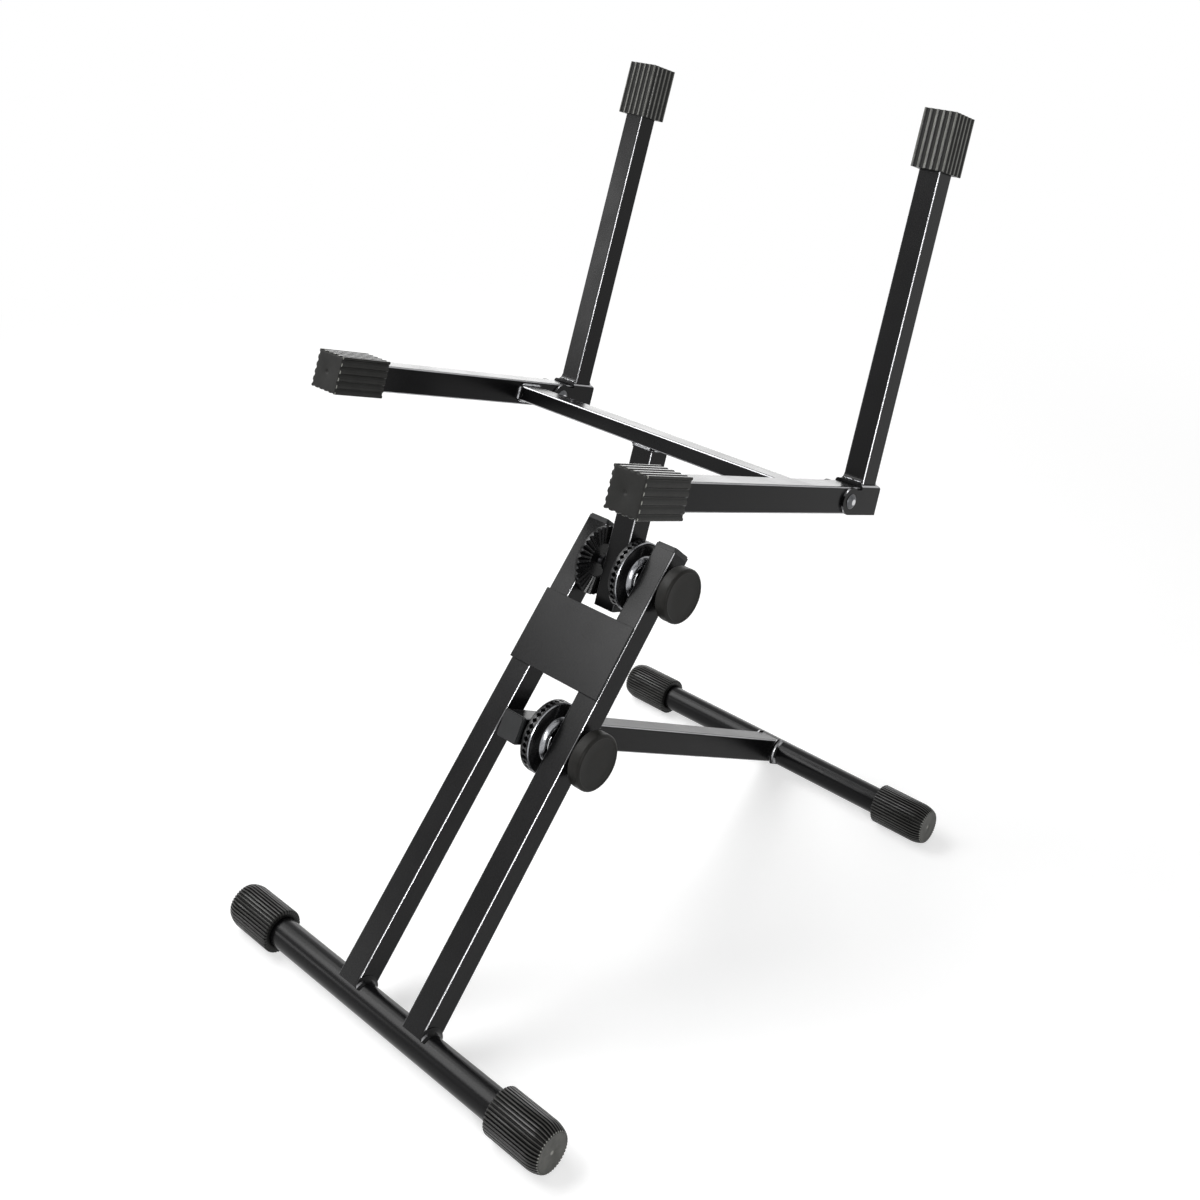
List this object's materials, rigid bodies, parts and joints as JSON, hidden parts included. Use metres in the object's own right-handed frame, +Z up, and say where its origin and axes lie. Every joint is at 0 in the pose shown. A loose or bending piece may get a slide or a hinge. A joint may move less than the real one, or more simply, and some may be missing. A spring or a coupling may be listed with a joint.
{
  "type": "folding amplifier stand",
  "caption": "Low folding stand that holds an amplifier tilted back: leaning legs with a rear strut, and a tilting cradle of arms and fold-down uprights set by toothed clutches.",
  "frame": {"origin": "on the floor, under the middle of the stand's bounding box", "axes": "+Z up, -Y towards the open front of the cradle, +X towards the side with the hand knobs"},
  "size_m": [0.418, 0.591, 0.7857],
  "materials": {
    "black_steel": "satin",
    "black_rubber": "matte",
    "black_plastic": "matte",
    "knob_plastic": "matte",
    "clutch_steel": "gloss",
    "plated_steel": "satin",
    "rivet_steel": "satin"
  },
  "bodies": {
    "main_frame": {"front_base_tube": "black_steel", "front_cap_left": "black_rubber", "front_cap_right": "black_rubber", "leg_left": "black_steel", "leg_right": "black_steel", "leg_plug_left": "black_plastic", "leg_plug_right": "black_plastic", "front_plate": "black_steel", "toothed_disc_left": "clutch_steel", "clutch_dish_upper": "clutch_steel", "clutch_dish_lower": "clutch_steel", "spring_upper": "plated_steel", "spring_lower": "plated_steel", "clamp_bolt_upper": "plated_steel", "clamp_bolt_lower": "plated_steel", "clamp_nut_upper": "plated_steel", "clamp_nut_lower": "plated_steel"},
    "rear_leg": {"strut": "black_steel", "strut_plug": "black_plastic", "strut_clutch_plate": "clutch_steel", "rear_base_tube": "black_steel", "rear_cap_left": "black_rubber", "rear_cap_right": "black_rubber"},
    "cradle": {"neck": "black_steel", "neck_clutch_plate": "clutch_steel", "crossbar": "black_steel", "arm_left": "black_steel", "arm_right": "black_steel", "arm_cap_left": "black_rubber", "arm_cap_right": "black_rubber", "hinge_rivet_left": "rivet_steel", "hinge_rivet_right": "rivet_steel"},
    "left_upright": {"bracket_left": "black_steel", "upright_left": "black_steel", "upright_cap_left": "black_rubber"},
    "right_upright": {"bracket_right": "black_steel", "upright_right": "black_steel", "upright_cap_right": "black_rubber"},
    "upper_knob": {"knob_upper": "knob_plastic"},
    "lower_knob": {"knob_lower": "knob_plastic"}
  },
  "joints": [
    {"name": "cradle_tilt", "type": "hinge", "parent": "main_frame", "child": "cradle", "pos_m": [0, 0.01445, 0.33754], "axis": [1, 0, 0], "range_deg": [-30, 66]},
    {"name": "rear_leg_fold", "type": "hinge", "parent": "main_frame", "child": "rear_leg", "pos_m": [0, -0.09614, 0.21643], "axis": [-1, 0, 0], "range_deg": [-50, 98]},
    {"name": "left_upright_fold", "type": "hinge", "parent": "cradle", "child": "left_upright", "pos_m": [-0.184, 0.10122, 0.44401], "axis": [1, 0, 0], "range_deg": [0, 90]},
    {"name": "right_upright_fold", "type": "hinge", "parent": "cradle", "child": "right_upright", "pos_m": [0.184, 0.10122, 0.44401], "axis": [1, 0, 0], "range_deg": [0, 90]},
    {"name": "upper_knob_turn", "type": "hinge", "parent": "main_frame", "child": "upper_knob", "pos_m": [0.0665, 0.01445, 0.33754], "axis": [1, 0, 0], "continuous": true},
    {"name": "lower_knob_turn", "type": "hinge", "parent": "main_frame", "child": "lower_knob", "pos_m": [0.0665, -0.09614, 0.21643], "axis": [1, 0, 0], "continuous": true}
  ]
}
